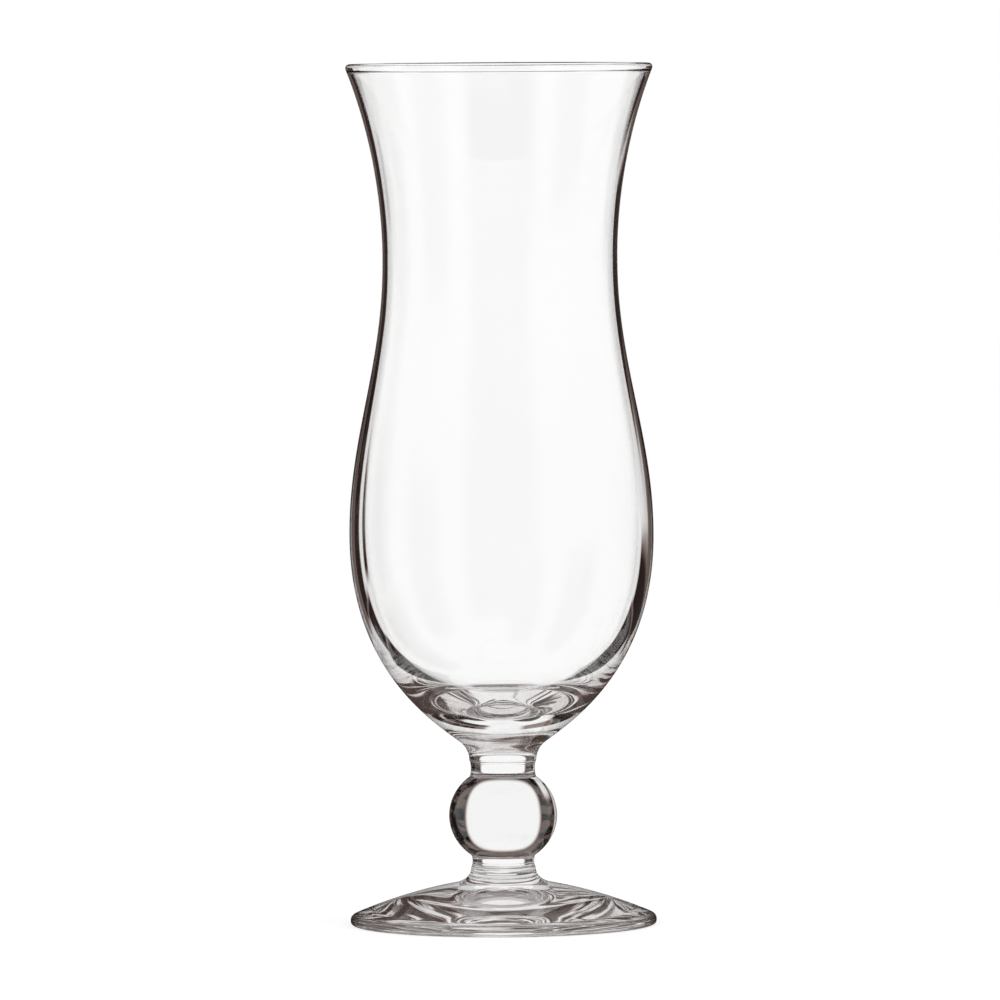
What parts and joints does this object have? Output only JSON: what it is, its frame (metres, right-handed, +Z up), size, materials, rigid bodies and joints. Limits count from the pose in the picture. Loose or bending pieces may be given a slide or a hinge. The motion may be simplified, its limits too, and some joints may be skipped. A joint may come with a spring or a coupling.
{
  "type": "hurricane glass",
  "caption": "Clear stemmed drinking glass: a tall bowl with a flared mouth, narrow waist and full belly, on a short stem with a ball knop and a low conical foot.",
  "frame": {"origin": "centre of the ring on which the foot stands, on the surface under it", "axes": "+Z up along the glass's axis of revolution, from the foot to the rim; X and Y are alike"},
  "size_m": [0.0746, 0.0746, 0.2094],
  "materials": {
    "bowl_glass": "clear, blown and fire-polished",
    "stem_glass": "clear, pressed and fire-polished, with faint waves"
  },
  "bodies": {
    "root": {"foot": "stem_glass", "lower_stem": "stem_glass", "ball_knop": "stem_glass", "upper_stem": "stem_glass", "bowl": "bowl_glass"}
  },
  "joints": []
}
